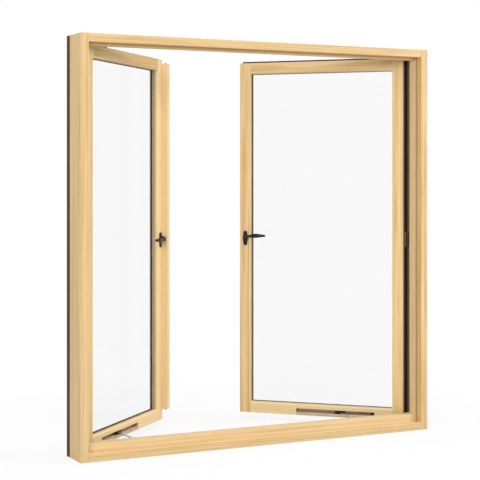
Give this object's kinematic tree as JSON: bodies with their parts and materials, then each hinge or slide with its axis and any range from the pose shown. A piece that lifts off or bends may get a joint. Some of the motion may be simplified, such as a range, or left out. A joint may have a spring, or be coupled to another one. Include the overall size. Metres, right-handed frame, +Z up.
{
  "type": "french casement window",
  "caption": "Square timber window frame with a pair of side-hung glazed sashes that push outwards, dark metal cladding outside, black lever handles, a meeting strip and sliding stays.",
  "frame": {"origin": "centre of the sill's underside", "axes": "+X to the right seen from the room, +Y to the outside, +Z up"},
  "size_m": [1.45, 0.6044, 1.5],
  "materials": {
    "pine": "clear satin varnish on pine",
    "brown_cladding": "satin dark brown powder coat",
    "glass": "clear",
    "dark_spacer": "matt dark",
    "steel": "brushed",
    "black_metal": "satin black",
    "black_rubber": "matt"
  },
  "bodies": {
    "frame": {"head": "pine", "head_frame_cladding": "brown_cladding", "head_stop": "pine", "hinge_snubbers": "black_rubber", "left_frame_cladding": "brown_cladding", "left_hinge_plates": "steel", "left_jamb": "pine", "left_stay_bracket": "steel", "left_stop": "pine", "right_frame_cladding": "brown_cladding", "right_hinge_plates": "steel", "right_jamb": "pine", "right_stay_bracket": "steel", "right_stop": "pine", "sill": "pine", "sill_frame_cladding": "brown_cladding", "sill_stop": "pine"},
    "left_sash": {"astragal": "pine", "left_bottom_rail": "pine", "left_glass": "glass", "left_glass_spacer": "dark_spacer", "left_handle_plate": "black_metal", "left_hinge_leaves": "steel", "left_hinge_stile": "pine", "left_meeting_stile": "pine", "left_sash_cladding": "brown_cladding", "left_stay_track": "steel", "left_top_rail": "pine", "shoot_bolts": "steel"},
    "left_handle": {"left_handle_lever": "black_metal"},
    "left_stay_arm": {"left_stay_arm": "steel"},
    "left_stay_shoe": {"left_stay_shoe": "black_metal"},
    "right_sash": {"right_bottom_rail": "pine", "right_glass": "glass", "right_glass_spacer": "dark_spacer", "right_handle_plate": "black_metal", "right_hinge_leaves": "steel", "right_hinge_stile": "pine", "right_meeting_stile": "pine", "right_sash_cladding": "brown_cladding", "right_stay_track": "steel", "right_top_rail": "pine"},
    "right_handle": {"right_handle_lever": "black_metal"},
    "right_stay_arm": {"right_stay_arm": "steel"},
    "right_stay_shoe": {"right_stay_shoe": "black_metal"}
  },
  "joints": [
    {"name": "left_sash_swing", "type": "hinge", "parent": "frame", "child": "left_sash", "pos_m": [-0.69, 0.04, 0], "axis": [0, 0, 1], "range_deg": [-44.1, 15.9]},
    {"name": "left_stay_swing", "type": "hinge", "parent": "frame", "child": "left_stay_arm", "pos_m": [-0.466, 0.011, 0.041], "axis": [0, 0, 1], "range_deg": [-94.3, 34.32]},
    {"name": "left_shoe_turn", "type": "hinge", "parent": "left_stay_arm", "child": "left_stay_shoe", "pos_m": [-0.47848, 0.2046, 0.041], "axis": [0, 0, 1], "range_deg": [-18.42, 50.2]},
    {"name": "left_handle_turn", "type": "hinge", "parent": "left_sash", "child": "left_handle", "pos_m": [-0.18991, 0.47449, 0.75], "axis": [-0.6959, 0.7181, 0], "range_deg": [-90, 0]},
    {"name": "right_sash_swing", "type": "hinge", "parent": "frame", "child": "right_sash", "pos_m": [0.69, 0.04, 0], "axis": [0, 0, -1], "range_deg": [-45.5, 14.5]},
    {"name": "right_stay_swing", "type": "hinge", "parent": "frame", "child": "right_stay_arm", "pos_m": [0.466, 0.011, 0.041], "axis": [0, 0, -1], "range_deg": [-97.28, 31.34]},
    {"name": "right_shoe_turn", "type": "hinge", "parent": "right_stay_arm", "child": "right_stay_shoe", "pos_m": [0.48848, 0.20369, 0.041], "axis": [0, 0, -1], "range_deg": [-16.84, 51.78]},
    {"name": "right_handle_turn", "type": "hinge", "parent": "right_sash", "child": "right_handle", "pos_m": [0.20067, 0.48658, 0.75], "axis": [-0.7133, -0.7009, 0], "range_deg": [-90, 0]}
  ],
  "couplings": [
    {"joint": "left_stay_swing", "follows": "left_sash_swing", "ratio": 2.127},
    {"joint": "left_shoe_turn", "follows": "left_sash_swing", "ratio": -1.127},
    {"joint": "right_stay_swing", "follows": "right_sash_swing", "ratio": 2.127},
    {"joint": "right_shoe_turn", "follows": "right_sash_swing", "ratio": -1.127}
  ]
}
